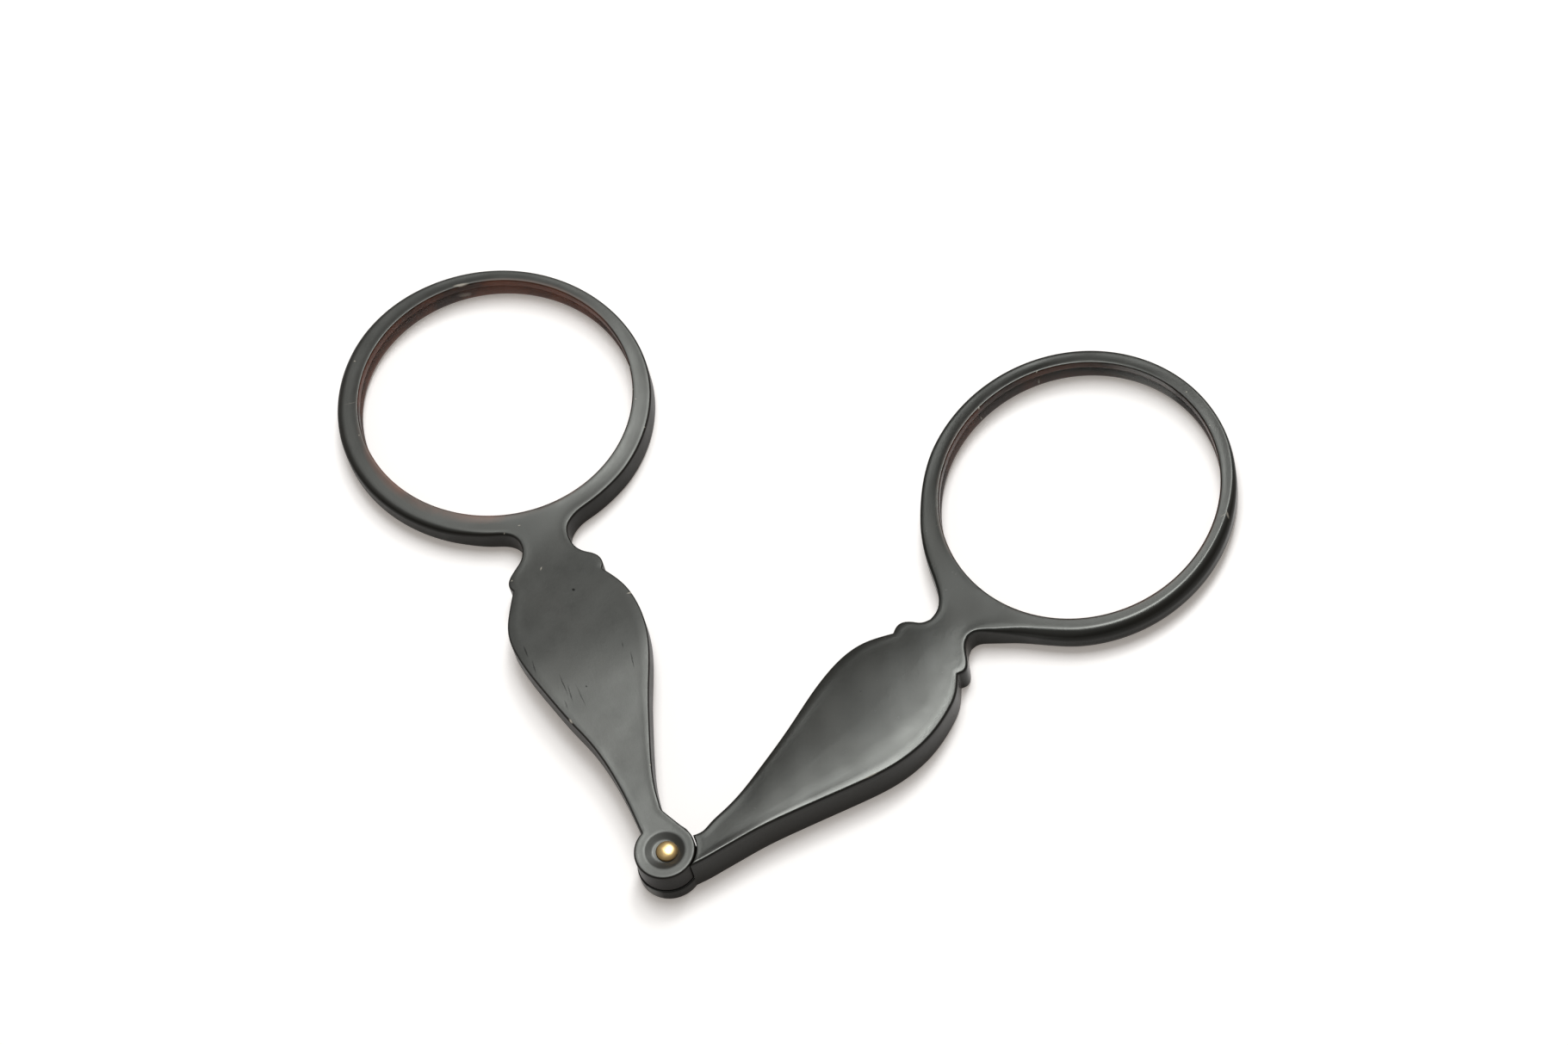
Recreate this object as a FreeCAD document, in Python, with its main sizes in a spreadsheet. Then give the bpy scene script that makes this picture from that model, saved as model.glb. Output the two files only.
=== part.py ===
import FreeCAD, Part
import math
import os
import Sketcher
from FreeCAD import Placement, Rotation, Vector

# Scissor glasses: two flat arms of dark horn on one brass rivet, each with a round rim and a lens.
# Each arm is drawn in its own frame: X from the rivet to the middle of the rim, Y across, Z up.

# Driving dimensions in millimetres, and the opening in degrees
DIMENSIONS = [
    ("armLength", 73.0, "rivet axis to the middle of the rim"),
    ("opening", 67.0, "angle between the two arms as they lie"),
    ("pivotBack", 38.79, "rivet axis in front of the middle of the bounding box"),
    ("rimOuter", 21.0, "outer radius of a rim"),
    ("rimInner", 18.3, "radius of the clear opening of a rim"),
    ("rimThick", 4.2, "thickness of a rim"),
    ("rimRound", 0.8, "rounding of the outer edges of a rim"),
    ("hingeThick", 6.2, "height of the two stacked eyes"),
    ("slopeStart", 30.0, "where the faces begin to slope down to the rim"),
    ("slopeEnd", 50.0, "where the slope ends, at the neck"),
    ("lapHeight", 2.25, "top of the lower eye"),
    ("lapGap", 0.1, "air between the two eyes"),
    ("upperEye", 4.0, "radius of the upper eye"),
    ("lowerEye", 4.3, "radius of the lower eye"),
    ("crescent", 4.35, "radius of the crescent step round the upper eye"),
    ("boreRadius", 1.05, "radius of the rivet hole in both eyes"),
    ("shankRadius", 1.0, "radius of the rivet"),
    ("headRadius", 1.4, "radius of the rivet's domed head"),
    ("headHeight", 0.75, "height of the domed head"),
    ("headRim", 0.1, "height of the straight rim under the dome"),
    ("tailRadius", 1.5, "radius of the rivet's lower head"),
    ("tailHeight", 0.4, "height of the lower head"),
    ("tailBevel", 0.3, "width of the bevel round the lower head"),
    ("tailBevelRise", 0.2, "height of that bevel"),
    ("headGap", 0.02, "air under each head"),
    ("dishRadius", 2.6, "mouth of the dish round the upper head"),
    ("dishFloor", 1.6, "flat floor of that dish"),
    ("dishDepth", 0.35, "depth of that dish"),
    ("tailDishRadius", 1.9, "mouth of the dish round the lower head"),
    ("tailDishDepth", 0.45, "depth of that dish"),
    ("grooveDepth", 0.7, "depth of the lens groove in the rim"),
    ("grooveHalf", 0.8, "half the width of the groove's mouth"),
    ("lensGap", 0.06, "air between a lens and its rim"),
    ("lensBevel", 0.65, "height of the bevel on the edge of a lens"),
    ("lensEdgeHalf", 0.65, "half the thickness of a lens at its edge"),
    ("lensCrown", 0.5, "how far each face of a lens is domed"),
]

# Outline of the left arm, outer side: distance along the arm, distance across it
LEFT_OUTER_HANDLE = [
    (3.46, 2.01), (5.4, 2.12), (7.6, 2.26), (11.4, 2.65), (15.6, 3.4), (19.1, 4.4), (22.0, 5.5),
    (26.2, 6.9), (30.9, 8.3), (34.2, 9.0), (36.6, 9.2), (38.8, 8.9), (41.0, 8.05), (44.1, 6.5),
]
LEFT_OUTER_LOBE = [(44.1, 6.5), (44.8, 6.78), (45.6, 6.68), (46.4, 6.15), (47.4, 5.05)]
LEFT_OUTER_NECK = [
    (47.4, 5.05), (48.4, 4.02), (49.6, 3.48), (50.8, 3.5), (51.8, 4.0), (52.7, 5.3), (53.4, 7.6),
]
LEFT_INNER_HANDLE = [
    (5.6, -1.5), (9.2, -1.8), (13.1, -2.65), (17.9, -4.05), (22.6, -5.55), (27.2, -7.2),
    (31.1, -8.12), (33.8, -8.3), (36.4, -8.1), (39.0, -7.45), (42.6, -5.5),
]
LEFT_INNER_LOBE = [(42.6, -5.5), (43.2, -5.82), (43.9, -5.88), (44.8, -5.6), (45.6, -4.9)]
LEFT_INNER_NECK = [
    (45.6, -4.9), (46.6, -3.75), (47.9, -3.08), (49.4, -2.92), (50.7, -3.2), (51.8, -4.1),
    (52.7, -5.5), (53.4, -7.6),
]

# Outline of the right arm, whose handle stands a little outward of its rim
RIGHT_OUTER_HANDLE = [
    (0.9, 4.205), (2.6, 4.62), (4.4, 5.02), (6.7, 5.55), (10.5, 6.45), (15.1, 7.9), (19.7, 9.5),
    (24.3, 11.1), (28.6, 12.3), (32.0, 12.66), (35.4, 12.4), (39.2, 11.35), (41.6, 10.2),
    (43.8, 8.2),
]
RIGHT_OUTER_LOBE = [(43.8, 8.2), (44.4, 8.45), (45.1, 8.4), (45.9, 7.75), (46.7, 6.65)]
RIGHT_OUTER_NECK = [
    (46.7, 6.65), (47.6, 5.6), (48.7, 5.05), (49.8, 5.15), (51.0, 6.05), (52.4, 7.55),
    (54.2, 9.4),
]
RIGHT_INNER_HANDLE = [
    (4.08, 1.36), (6.0, 1.36), (9.2, 1.25), (12.4, 0.95), (16.1, 0.2), (19.9, -0.65),
    (23.8, -1.65), (28.0, -2.85), (31.9, -3.75), (35.1, -4.12), (37.9, -3.85), (41.9, -2.15),
]
RIGHT_INNER_LOBE = [(41.9, -2.15), (42.6, -2.5), (43.3, -2.65), (44.1, -2.4), (44.9, -1.65)]
RIGHT_INNER_NECK = [
    (44.9, -1.65), (45.7, -0.72), (46.8, -0.32), (48.2, -0.6), (49.5, -1.45), (50.8, -3.3),
    (51.9, -5.7), (53.3, -8.6), (54.4, -9.85),
]

# Where the straight inner shoulder of the left eye leaves the eye's circle, in degrees from the arm
LEFT_SHOULDER_ANGLE = -71.0

# A cut that goes right through is at least this long
THROUGH = 60.0

# How far a cut runs past the face that it opens
OVERSHOOT = 1.0

# How far the turned ring reaches into its opening before that is cut
RING_LAP = 0.5

# Clear of the back of both eyes
BEHIND_EYES = 8.0

os.makedirs("parts", exist_ok=True)
doc = FreeCAD.newDocument("scissor_glasses")


# The sheet of driving dimensions
sheet = doc.addObject("Spreadsheet::Sheet", "Dims")
for row, (alias, value, note) in enumerate(DIMENSIONS, start=1):
    sheet.set("A%d" % row, str(value))
    sheet.setAlias("A%d" % row, alias)
    sheet.set("B%d" % row, note)
doc.recompute()


def size(alias):
    return float(sheet.get(alias))


def origin_plane(body, role):
    return [f for f in body.Origin.OriginFeatures if f.Role == role][0]


def new_sketch(body, name, role="XY_Plane", shift=None):
    sketch = body.newObject("Sketcher::SketchObject", name)
    sketch.AttachmentSupport = [(origin_plane(body, role), "")]
    sketch.MapMode = "FlatFace"
    if shift:
        sketch.setExpression(".AttachmentOffset.Base.x", shift)
    return sketch


# Hold one coordinate of a sketch point at an expression of the sheet's cells
def hold(sketch, kind, geo, point, value, expression):
    index = sketch.addConstraint(Sketcher.Constraint(kind, -1, 1, geo, point, value))
    sketch.setExpression("Constraints[%d]" % index, expression)


# A closed polygon, each corner given as two expressions of the sheet's cells
def polygon(sketch, corners):
    doc.recompute()
    values = [(evaluate(x), evaluate(y)) for x, y in corners]
    count = len(values)
    for i in range(count):
        start = Vector(values[i][0], values[i][1], 0)
        end = Vector(values[(i + 1) % count][0], values[(i + 1) % count][1], 0)
        sketch.addGeometry(Part.LineSegment(start, end), False)
    for i in range(count):
        sketch.addConstraint(Sketcher.Constraint("Coincident", i, 2, (i + 1) % count, 1))
    for i, (x, y) in enumerate(corners):
        hold(sketch, "DistanceX", i, 1, values[i][0], x)
        hold(sketch, "DistanceY", i, 1, values[i][1], y)


# The number that an expression of the sheet's cells stands for
def evaluate(expression):
    total = 0.0
    sign = 1.0
    for word in expression.replace("Dims.", "").split():
        if word in "+-":
            sign = 1.0 if word == "+" else -1.0
            continue
        total += sign * (float(word) if word[0].isdigit() else size(word))
    return total


def circle(sketch, alias):
    sketch.addGeometry(Part.Circle(Vector(0, 0, 0), Vector(0, 0, 1), size(alias)), False)
    sketch.addConstraint(Sketcher.Constraint("Coincident", 0, 3, -1, 1))
    index = sketch.addConstraint(Sketcher.Constraint("Radius", 0, size(alias)))
    sketch.setExpression("Constraints[%d]" % index, "Dims." + alias)


def smooth(points):
    curve = Part.BSplineCurve()
    curve.interpolate([Vector(x, y, 0) for x, y in points])
    return curve


def arc(start, middle, end):
    return Part.Arc(Vector(*start, 0), Vector(*middle, 0), Vector(*end, 0))


def on_circle(radius, degrees):
    angle = math.radians(degrees)
    return (radius * math.cos(angle), radius * math.sin(angle))


def volume(body):
    return 0.0 if body.Shape.isNull() else body.Shape.Volume


# Add a feature, and stop if it changes the body's volume the wrong way
def grow(body, kind, name, sketch, settings, bound, adds):
    doc.recompute()
    before = volume(body)
    feature = body.newObject(kind, name)
    feature.Profile = sketch
    for key, value in settings.items():
        setattr(feature, key, value)
    for key, expression in bound.items():
        feature.setExpression(key, expression)
    sketch.Visibility = False
    doc.recompute()
    change = volume(body) - before
    assert (change > 0) == adds and abs(change) > 1e-3, (name, change)
    return feature


def pad(body, name, sketch, length):
    return grow(body, "PartDesign::Pad", name, sketch, {}, {"Length": length}, True)


def pocket(body, name, sketch, length, settings):
    bound = {"Length": length}
    return grow(body, "PartDesign::Pocket", name, sketch, settings, bound, False)


def turned(body, kind, name, sketch, adds):
    settings = {"ReferenceAxis": (sketch, ["V_Axis"]), "Angle": 360.0}
    return grow(body, "PartDesign::" + kind, name, sketch, settings, {}, adds)


# The flat blank of an arm: eye, handle, lobes and neck, up to the rim
def blank(body, name, curves):
    sketch = new_sketch(body, name + "_outline")
    for index, curve in enumerate(curves):
        sketch.addGeometry(curve, False)
        sketch.addConstraint(Sketcher.Constraint("Block", index))
    return pad(body, name + "_blank", sketch, "Dims.hingeThick")


# The round rim, with the opening and the lens groove turned out of it
def rim(body, name):
    ring = new_sketch(body, name + "_rim_section", "XZ_Plane", "Dims.armLength")
    inner = "Dims.rimInner - %g" % RING_LAP
    edge = "Dims.rimOuter - Dims.rimRound"
    corners = [
        (inner, "0"), (edge, "0"), ("Dims.rimOuter", "Dims.rimRound"),
        ("Dims.rimOuter", "Dims.rimThick - Dims.rimRound"), (edge, "Dims.rimThick"),
        (inner, "Dims.rimThick"),
    ]
    polygon(ring, corners)
    turned(body, "Revolution", name + "_rim", ring, True)
    cut = new_sketch(body, name + "_opening_section", "XZ_Plane", "Dims.armLength")
    middle = size("rimThick") / 2
    low = "%g - Dims.grooveHalf" % middle
    high = "%g + Dims.grooveHalf" % middle
    below = "0 - %g" % OVERSHOOT
    above = "Dims.hingeThick + %g" % OVERSHOOT
    corners = [
        ("0", below), ("Dims.rimInner", below), ("Dims.rimInner", low),
        ("Dims.rimInner + Dims.grooveDepth", "%g" % middle), ("Dims.rimInner", high),
        ("Dims.rimInner", above), ("0", above),
    ]
    polygon(cut, corners)
    turned(body, "Groove", name + "_opening", cut, False)


# The sloping top face between handle and rim
def slope_top(body, name):
    sketch = new_sketch(body, name + "_slope", "XZ_Plane")
    far = "Dims.armLength - Dims.rimInner + %g" % (2 * OVERSHOOT)
    above = "Dims.hingeThick + %g" % OVERSHOOT
    corners = [
        ("Dims.slopeStart", "Dims.hingeThick"), ("Dims.slopeEnd", "Dims.rimThick"),
        (far, "Dims.rimThick"), (far, above), ("Dims.slopeStart", above),
    ]
    polygon(sketch, corners)
    pocket(body, name + "_slope_cut", sketch, "%g" % THROUGH, {"Midplane": True})


def rivet_hole(body, name):
    sketch = new_sketch(body, name + "_bore_circle")
    circle(sketch, "boreRadius")
    settings = {"Type": 1, "Midplane": True}
    pocket(body, name + "_bore", sketch, "%g" % THROUGH, settings)


def place(body, degrees):
    body.Placement = Placement(Vector(0, 0, 0), Rotation(Vector(0, 0, 1), degrees))
    body.setExpression(".Placement.Base.y", "0 - Dims.pivotBack")


# Left arm: the upper eye, and an underside that slopes down to the rim
def left_arm():
    body = doc.addObject("PartDesign::Body", "left_arm")
    eye = size("upperEye")
    shoulder = on_circle(eye, LEFT_SHOULDER_ANGLE)
    kink = LEFT_OUTER_HANDLE[0]
    end_outer = LEFT_OUTER_NECK[-1]
    end_inner = LEFT_INNER_NECK[-1]
    curves = [smooth(p) for p in (LEFT_OUTER_HANDLE, LEFT_OUTER_LOBE, LEFT_OUTER_NECK)]
    curves.append(Part.LineSegment(Vector(*end_outer, 0), Vector(*end_inner, 0)))
    curves += [smooth(p) for p in (LEFT_INNER_NECK, LEFT_INNER_LOBE, LEFT_INNER_HANDLE)]
    curves.append(Part.LineSegment(Vector(*LEFT_INNER_HANDLE[0], 0), Vector(*shoulder, 0)))
    curves.append(arc(shoulder, (-eye, 0), kink))
    blank(body, "left", curves)
    rim(body, "left")
    slope_top(body, "left")

    under = new_sketch(body, "left_under", "XZ_Plane")
    raised = "Dims.lapHeight + Dims.lapGap"
    below = "0 - %g" % OVERSHOOT
    behind = "0 - %g" % BEHIND_EYES
    corners = [
        (behind, below), ("Dims.slopeEnd", below), ("Dims.slopeEnd", "0"),
        ("Dims.slopeStart", raised), (behind, raised),
    ]
    polygon(under, corners)
    pocket(body, "left_under_cut", under, "%g" % THROUGH, {"Midplane": True})

    dish = new_sketch(body, "left_dish_section", "XZ_Plane")
    floor = "Dims.hingeThick - Dims.dishDepth"
    corners = [
        ("0", floor), ("Dims.dishFloor", floor), ("Dims.dishRadius", "Dims.hingeThick"),
        ("0", "Dims.hingeThick"),
    ]
    polygon(dish, corners)
    turned(body, "Groove", "left_dish", dish, False)
    rivet_hole(body, "left")
    place(body, 90 + size("opening") / 2)
    return body


# Right arm: the lower eye, and a crescent step round the upper one
def right_arm():
    body = doc.addObject("PartDesign::Body", "right_arm")
    eye = size("lowerEye")
    start = (RIGHT_OUTER_HANDLE[0][0], -RIGHT_OUTER_HANDLE[0][1])
    mirrored = [
        [(x, -y) for x, y in points]
        for points in (
            RIGHT_OUTER_HANDLE, RIGHT_OUTER_LOBE, RIGHT_OUTER_NECK,
            RIGHT_INNER_NECK, RIGHT_INNER_LOBE, RIGHT_INNER_HANDLE,
        )
    ]
    curves = [smooth(points) for points in mirrored[:3]]
    curves.append(Part.LineSegment(Vector(*mirrored[2][-1], 0), Vector(*mirrored[3][-1], 0)))
    curves += [smooth(points) for points in mirrored[3:]]
    curves.append(arc(mirrored[5][0], (-eye, 0), start))
    blank(body, "right", curves)
    rim(body, "right")
    slope_top(body, "right")

    step = new_sketch(body, "right_step_circle")
    circle(step, "crescent")
    step.setExpression(".AttachmentOffset.Base.z", "Dims.lapHeight")
    pocket(body, "right_step", step, "Dims.hingeThick", {"Reversed": True})

    dish = new_sketch(body, "right_dish_section", "XZ_Plane")
    corners = [
        ("0", "0"), ("Dims.tailDishRadius", "0"), ("Dims.tailDishRadius", "Dims.tailDishDepth"),
        ("0", "Dims.tailDishDepth"),
    ]
    polygon(dish, corners)
    turned(body, "Groove", "right_dish", dish, False)
    rivet_hole(body, "right")
    place(body, 90 - size("opening") / 2)
    return body


# The rivet: a shank with a domed head above and a flat formed head below
def pivot_rivet():
    body = doc.addObject("PartDesign::Body", "pivot_rivet")
    section = new_sketch(body, "rivet_section", "XZ_Plane")
    tail_top = "Dims.tailDishDepth - Dims.headGap"
    tail_base = tail_top + " - Dims.tailHeight"
    head_base = "Dims.hingeThick - Dims.dishDepth + Dims.headGap"
    dome_base = head_base + " + Dims.headRim"
    corners = [
        ("0", tail_base), ("Dims.tailRadius - Dims.tailBevel", tail_base),
        ("Dims.tailRadius", tail_base + " + Dims.tailBevelRise"), ("Dims.tailRadius", tail_top),
        ("Dims.shankRadius", tail_top), ("Dims.shankRadius", head_base),
        ("Dims.headRadius", head_base), ("Dims.headRadius", dome_base), ("0", dome_base),
    ]
    polygon(section, corners)
    turned(body, "Revolution", "rivet_turned", section, True)

    radius = size("headRadius")
    rise = size("headHeight") - size("headRim")
    base = evaluate(dome_base)
    dome = new_sketch(body, "dome_section", "XZ_Plane")
    ball = (radius * radius + rise * rise) / (2 * rise)
    middle_angle = math.asin(radius / ball) / 2
    middle = (ball * math.sin(middle_angle), base + rise - ball + ball * math.cos(middle_angle))
    dome.addGeometry(Part.LineSegment(Vector(0, base, 0), Vector(radius, base, 0)), False)
    dome.addGeometry(arc((radius, base), middle, (0, base + rise)), False)
    dome.addGeometry(Part.LineSegment(Vector(0, base + rise, 0), Vector(0, base, 0)), False)
    turned(body, "Revolution", "rivet_dome", dome, True)
    place(body, 0)
    return body


# A lens: two shallow domed faces and a bevelled edge that sits in the groove
def lens(name, degrees):
    body = doc.addObject("PartDesign::Body", name)
    edge = size("rimInner") - size("lensGap")
    tip = edge + size("lensBevel")
    middle = size("rimThick") / 2
    half = size("lensEdgeHalf")
    crown = size("lensCrown")
    ball = (edge * edge + crown * crown) / (2 * crown)
    drop = ball - math.sqrt(ball * ball - edge * edge / 4)
    section = new_sketch(body, name + "_section", "XZ_Plane")
    top = middle + half + crown
    bottom = middle - half - crown
    section.addGeometry(arc((0, top), (edge / 2, top - drop), (edge, middle + half)), False)
    corners = [(edge, middle + half), (tip, middle), (edge, middle - half)]
    for first, second in zip(corners, corners[1:]):
        section.addGeometry(Part.LineSegment(Vector(*first, 0), Vector(*second, 0)), False)
    section.addGeometry(arc((edge, middle - half), (edge / 2, bottom + drop), (0, bottom)), False)
    section.addGeometry(Part.LineSegment(Vector(0, bottom, 0), Vector(0, top, 0)), False)
    turned(body, "Revolution", name + "_turned", section, True)
    angle = math.radians(degrees)
    body.Placement = Placement(Vector(0, 0, 0), Rotation(Vector(0, 0, 1), degrees))
    body.setExpression(".Placement.Base.x", "Dims.armLength * %.9f" % math.cos(angle))
    across = "Dims.armLength * %.9f - Dims.pivotBack" % math.sin(angle)
    body.setExpression(".Placement.Base.y", across)
    return body


half_opening = size("opening") / 2
bodies = [
    left_arm(),
    right_arm(),
    lens("left_lens", 90 + half_opening),
    lens("right_lens", 90 - half_opening),
    pivot_rivet(),
]
doc.recompute()

for item in doc.Objects:
    assert "Invalid" not in item.State and "Error" not in item.State, item.Name
for body in bodies:
    assert not body.Shape.isNull() and body.Shape.isValid(), body.Label
    assert len(body.Shape.Solids) == 1, body.Label
    body.Shape.exportStep("parts/%s.step" % body.Label)
    box = body.Shape.BoundBox
    print(
        "%-12s volume %8.1f  x %.2f..%.2f  y %.2f..%.2f  z %.2f..%.2f"
        % (body.Label, body.Shape.Volume, box.XMin, box.XMax, box.YMin, box.YMax, box.ZMin, box.ZMax)
    )
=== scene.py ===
import bmesh
import bpy
import math
import numpy as np
from mathutils import Matrix, Vector


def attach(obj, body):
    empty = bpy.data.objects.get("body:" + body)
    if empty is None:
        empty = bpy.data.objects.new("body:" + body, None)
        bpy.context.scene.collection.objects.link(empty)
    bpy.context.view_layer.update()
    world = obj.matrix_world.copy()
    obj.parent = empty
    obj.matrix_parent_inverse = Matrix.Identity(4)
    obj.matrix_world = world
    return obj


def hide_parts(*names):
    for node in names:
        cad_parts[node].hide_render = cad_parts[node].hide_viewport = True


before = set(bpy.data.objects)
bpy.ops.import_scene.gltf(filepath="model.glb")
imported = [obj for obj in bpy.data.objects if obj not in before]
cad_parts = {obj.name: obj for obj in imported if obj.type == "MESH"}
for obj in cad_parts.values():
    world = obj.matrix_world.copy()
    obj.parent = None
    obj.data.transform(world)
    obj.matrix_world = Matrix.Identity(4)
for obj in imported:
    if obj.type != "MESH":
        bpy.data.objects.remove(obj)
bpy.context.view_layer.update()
mm = 0.001

# Shared measures of the two arms, in millimetres and degrees
hinge = {
    "armLength": 73.0,      # rivet axis to the middle of a rim
    "opening": 67.0,        # angle between the arms
    "pivotBack": 38.79,     # rivet axis in front of the middle of the box
    "bore": 1.05,           # radius of the rivet hole
    "eyeTop": 6.2,          # top of the stacked eyes and of both handles
    "rimTop": 4.2,          # thickness of a rim
    "slopeStart": 30.0,     # the faces slope from here to the neck
    "slopeEnd": 50.0,
    "slopeBlend": 4.0,      # how softly the slope begins and ends
    "lapRound": 0.2,        # rounding of the lower eye's edge
}
rim = {
    "inner": 18.3,          # radii
    "outer": 21.0,
    "grooveDepth": 0.7,     # a V-shaped groove for the lens
    "grooveHalf": 0.8,
    "grooveHeight": 2.1,
    "wallRow": 3.4,         # height of the row of points between the groove and the face
    "holeRound": 0.22,      # rounding of the opening's upper edge
    "holeUnderRound": 0.9,  # and of its lower edge
    "holeEdge": 0.2,        # the shift of the opening is whole up to this distance from its wall
    "warpReach": 27.0,      # the hand-made oval fades out at this distance from the rim's middle
    "farSpread": (0.2, 1.0),        # the far side thins between these sines of the direction
    "roundSpread": (-0.15, 0.75),   # the edge gets rounder between these cosines from its direction
    "roundFrom": (49.0, 57.0),      # along the arm, the handle's rounding becomes the rim's here
    "leanFrom": (52.0, 58.0),       # and the lean of the rim's face sets in here
    "underRound": 0.3,              # rounding of the handle's lower edge
}

# The handle's crown and the faint marks of filing, in millimetres
handleFace = {
    "crownStart": (5.0, 14.0),      # along the arm, the crown grows here
    "crownEnd": (42.0, 52.0),       # and fades here
    "crownHalf": 8.0,               # half width for which the crown is given
    "waves": (0.0096, 0.0072, 0.0036),
    "waveDrop": 0.03,               # the waves lie this much lower, so that they stay under the face
    "waveEdge": (0.6, 4.0),         # they grow between these multiples of the edge's rounding
    "waveHole": (0.2, 1.0),         # and between these distances from the opening
}

# Plan of the left arm: distance along the arm, distance outward
leftArm = {
    "name": "left_arm_horn",
    "node": "left_arm",
    "body": "left_side",
    "turn": 90 + hinge["opening"] / 2,
    "mirror": 1,
    "eye": 4.0,
    "outerHandle": [
        (3.464, 2.0), (5.4, 2.12), (7.6, 2.26), (11.4, 2.65), (15.6, 3.4), (19.1, 4.4), (22.0, 5.5),
        (26.2, 6.9), (30.9, 8.3), (34.2, 9.0), (36.6, 9.2), (38.8, 8.9), (41.0, 8.05), (44.1, 6.5),
    ],
    "outerLobe": [(44.1, 6.5), (44.8, 6.78), (45.6, 6.68), (46.4, 6.15), (47.4, 5.05)],
    "outerWaist": [(47.4, 5.05), (48.4, 4.02), (49.6, 3.48)],
    "outerFlare": [(49.6, 3.48), (50.8, 3.5), (51.8, 4.0), (52.7, 5.3), (53.41, 7.6)],
    "innerHandle": [
        (1.302, -3.782), (2.7, -3.04), (4.2, -2.24), (5.6, -1.5), (9.2, -1.8), (13.1, -2.65),
        (17.9, -4.05), (22.6, -5.55), (27.2, -7.2), (31.1, -8.12), (33.8, -8.3), (36.4, -8.1),
        (39.0, -7.45), (42.6, -5.5),
    ],
    "innerKink": 3,         # the straight shoulder ends at this point
    "innerLobe": [(42.6, -5.5), (43.2, -5.82), (43.9, -5.88), (44.8, -5.6), (45.6, -4.9)],
    "innerWaist": [(45.6, -4.9), (46.6, -3.75), (47.9, -3.08), (49.4, -2.92)],
    "innerFlare": [(49.4, -2.92), (50.7, -3.2), (51.8, -4.1), (52.7, -5.5), (53.41, -7.6)],
    "underEye": 2.35,       # underside of the eye and handle
    "stepTop": None,        # this eye is as high as its handle
    "handleRound": 0.26,
    "rimRound": (0.3, 0.75),        # smallest and largest rounding of the rim's outer edge
    "rimUnderRound": (0.4, 1.5),
    "roundToward": -125,            # direction, in the row frame, in which the rim is roundest
    "crown": (0.0, 0.0),    # how much lower the face is at its outer and inner edges, if 16 mm wide
    "oval": (-0.002, 0.027),
    "holeShift": (0.12, 0.45),      # how far the opening is off the middle, right and up in plan
    "holeGrow": 0.0,
    "farThin": 0.45,                # the rim is this much narrower on its far side
    "rimLean": 0.13,                # the rim's face falls this much from the lens to its outer edge
}

# Plan of the right arm, outward distances positive as well; it is mirrored when it is placed
rightArm = {
    "name": "right_arm_horn",
    "node": "right_arm",
    "body": "right_side",
    "turn": 90 - hinge["opening"] / 2,
    "mirror": -1,
    "eye": 4.15,
    "outerHandle": [
        (0.87, 4.058), (2.6, 4.60), (4.4, 5.02), (6.7, 5.55), (10.5, 6.45), (15.1, 7.9), (19.7, 9.5),
        (24.3, 11.1), (28.6, 12.3), (32.0, 12.66), (35.4, 12.4), (39.2, 11.35), (41.6, 10.2),
        (43.8, 8.2),
    ],
    "outerLobe": [(43.8, 8.2), (44.4, 8.45), (45.1, 8.4), (45.9, 7.75), (46.7, 6.65)],
    "outerWaist": [(46.7, 6.65), (47.6, 5.6), (48.7, 5.05)],
    "outerFlare": [
        (48.7, 5.05), (49.8, 5.15), (51.0, 6.05), (52.4, 7.55), (54.04, 9.49), (55.19, 11.13),
    ],
    "innerHandle": [
        (4.024, 1.016), (5.15, 1.45), (6.7, 1.33), (9.2, 1.22), (12.4, 0.93), (16.1, 0.2), (19.9, -0.65),
        (23.8, -1.65), (28.0, -2.85), (31.9, -3.75), (35.1, -4.12), (37.9, -3.85), (41.9, -2.15),
    ],
    "innerKink": 0,
    "innerLobe": [(41.9, -2.15), (42.6, -2.5), (43.3, -2.65), (44.1, -2.4), (44.9, -1.65)],
    "innerWaist": [(44.9, -1.65), (45.7, -0.72), (46.8, -0.32)],
    "innerFlare": [
        (46.8, -0.32), (48.2, -0.6), (49.5, -1.45), (50.8, -3.3), (51.9, -5.7), (53.2, -8.45),
        (54.16, -10.02), (55.67, -12.14), (57.36, -14.09), (59.5, -16.09),
    ],
    "underEye": 0.0,
    "stepTop": 2.25,        # top of this eye, under the other one
    "stepRound": 0.12,      # rounding of the handle's edge that faces the other eye
    "handleRound": 0.30,
    "rimRound": (0.3, 1.35),
    "rimUnderRound": (0.8, 1.7),
    "roundToward": -62,
    "crown": (0.40, 0.20),
    "oval": (0.015, -0.012),
    "holeShift": (0.1, 0.42),
    "holeGrow": 0.38,
    "farThin": 0.0,
    "rimLean": 0.03,
}

# How finely an arm is divided: stations along each stretch of the outline, columns across
grid = {
    "handle": 87,
    "early": (0.04, 0.1, 0.2),      # distances of the first stations from the eye, for its sharp step
    "lobe": 16,
    "waist": 10,
    "flare": 32,
    "ring": 240,
    "blendIn": 12,          # stations either side of a flare's end that are evened out
    "blendWhole": 4.8,      # stations either side that are evened out in full
    "blendPasses": 30,
    "rounding": 5,
    "across": 7,
    "eyeReach": (0.3, 9.0), # distances from the eye between which columns leave the arcs round the rivet
    "eyeBack": 70,
    "step": 24,             # pieces of the arc between the two eyes
    "wallLow": 4,
    "wallHigh": 5,
    "bore": 3,
    "onHole": 1e-6,         # a station this near to the opening's circle is on it
    "merge": 2e-6,          # metres; points nearer than this are one
    "sliver": 1e-7,
}
roundSteps = 1 - np.cos(np.linspace(0, math.pi / 2, grid["rounding"] + 1))
rimMiddle = np.array([hinge["armLength"], 0.0])


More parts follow.
